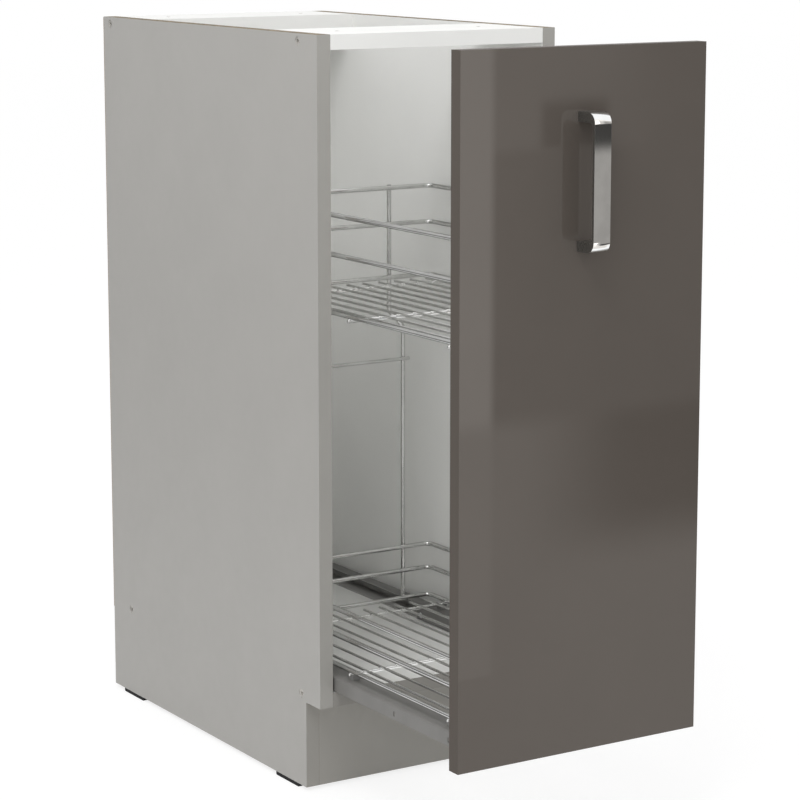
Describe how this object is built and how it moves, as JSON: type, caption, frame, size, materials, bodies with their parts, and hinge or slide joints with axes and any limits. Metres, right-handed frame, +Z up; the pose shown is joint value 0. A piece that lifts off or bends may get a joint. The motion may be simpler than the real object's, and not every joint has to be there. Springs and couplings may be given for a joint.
{
  "type": "pull-out base cabinet",
  "caption": "Narrow kitchen base cabinet whose gloss front pulls out two welded wire baskets on roller runners, shown half open.",
  "frame": {"origin": "on the floor, in the middle of the width and of the half-open object's depth", "axes": "+Z up, +Y towards the cabinet's back, +X to the right for a person who faces the front"},
  "size_m": [0.3, 0.793, 0.82],
  "materials": {
    "carcass_grey": "satin light warm grey melamine on chipboard, raw board on the top edge",
    "carcass_white": "satin white melamine on chipboard",
    "back_board": "white lacquered thin fibreboard, brown on the rear face",
    "plinth_grey": "satin grey melamine on chipboard",
    "front_gloss": "high-gloss taupe",
    "wire_chrome": "bright plated wire",
    "handle_chrome": "polished dark chrome",
    "zinc_steel": "zinc plated",
    "rail_grey": "grey powder coat",
    "fixed_rail_grey": "dark grey powder coat",
    "nylon": "smooth white nylon",
    "white_plastic": "moulded white",
    "black_plastic": "moulded black",
    "pad_rubber": "soft translucent pad",
    "beech": "plain beech"
  },
  "bodies": {
    "carcass": {"side_left": "carcass_grey", "side_right": "carcass_grey", "bottom_panel": "carcass_white", "top_rail_front": "carcass_white", "top_rail_rear": "carcass_white", "back_panel": "back_board", "plinth_panel": "plinth_grey", "plinth_blocks": "white_plastic", "plinth_block_screws": "zinc_steel", "floor_glides": "black_plastic", "carcass_screws": "zinc_steel", "dowels": "beech", "back_nails": "zinc_steel", "fixed_rail_left": "fixed_rail_grey", "fixed_rail_right": "fixed_rail_grey", "runner_screws": "zinc_steel", "front_roller_pins": "zinc_steel"},
    "carriage": {"front_panel": "front_gloss", "bumper_pads": "pad_rubber", "handle": "handle_chrome", "handle_screws": "zinc_steel", "front_plate_left": "zinc_steel", "front_plate_right": "zinc_steel", "plate_screws": "zinc_steel", "front_bracket_left": "zinc_steel", "front_bracket_right": "zinc_steel", "bracket_screws": "zinc_steel", "bracket_rivets": "zinc_steel", "carrier_rail_left": "rail_grey", "carrier_rail_right": "rail_grey", "rear_roller_pins": "zinc_steel", "basket_clips": "black_plastic", "upper_basket_rim": "wire_chrome", "upper_basket_rail": "wire_chrome", "upper_basket_frame": "wire_chrome", "upper_basket_grid": "wire_chrome", "lower_basket_rim": "wire_chrome", "lower_basket_rail": "wire_chrome", "lower_basket_frame": "wire_chrome", "lower_basket_grid": "wire_chrome", "rear_upright_left": "wire_chrome", "rear_upright_right": "wire_chrome", "rear_crossbar": "wire_chrome"},
    "front_roller_left": {"front_roller_left": "nylon"},
    "front_roller_right": {"front_roller_right": "nylon"},
    "rear_roller_left": {"rear_roller_left": "nylon"},
    "rear_roller_right": {"rear_roller_right": "nylon"}
  },
  "joints": [
    {"name": "pull_out", "type": "slide", "parent": "carcass", "child": "carriage", "axis": [0, -1, 0], "range_m": [-0.247, 0.098]},
    {"name": "front_roller_left_turn", "type": "hinge", "parent": "carcass", "child": "front_roller_left", "pos_m": [-0.1198, -0.08945, 0.1255], "axis": [1, 0, 0], "continuous": true},
    {"name": "front_roller_right_turn", "type": "hinge", "parent": "carcass", "child": "front_roller_right", "pos_m": [0.1198, -0.08945, 0.1255], "axis": [1, 0, 0], "continuous": true},
    {"name": "rear_roller_left_turn", "type": "hinge", "parent": "carriage", "child": "rear_roller_left", "pos_m": [-0.1198, 0.08965, 0.1233], "axis": [1, 0, 0], "continuous": true},
    {"name": "rear_roller_right_turn", "type": "hinge", "parent": "carriage", "child": "rear_roller_right", "pos_m": [0.1198, 0.08965, 0.1233], "axis": [1, 0, 0], "continuous": true}
  ],
  "couplings": [
    {"joint": "front_roller_left_turn", "follows": "pull_out", "rad_per_m": 166.67},
    {"joint": "front_roller_right_turn", "follows": "pull_out", "rad_per_m": 166.67},
    {"joint": "rear_roller_left_turn", "follows": "pull_out", "rad_per_m": 181.82},
    {"joint": "rear_roller_right_turn", "follows": "pull_out", "rad_per_m": 181.82}
  ]
}
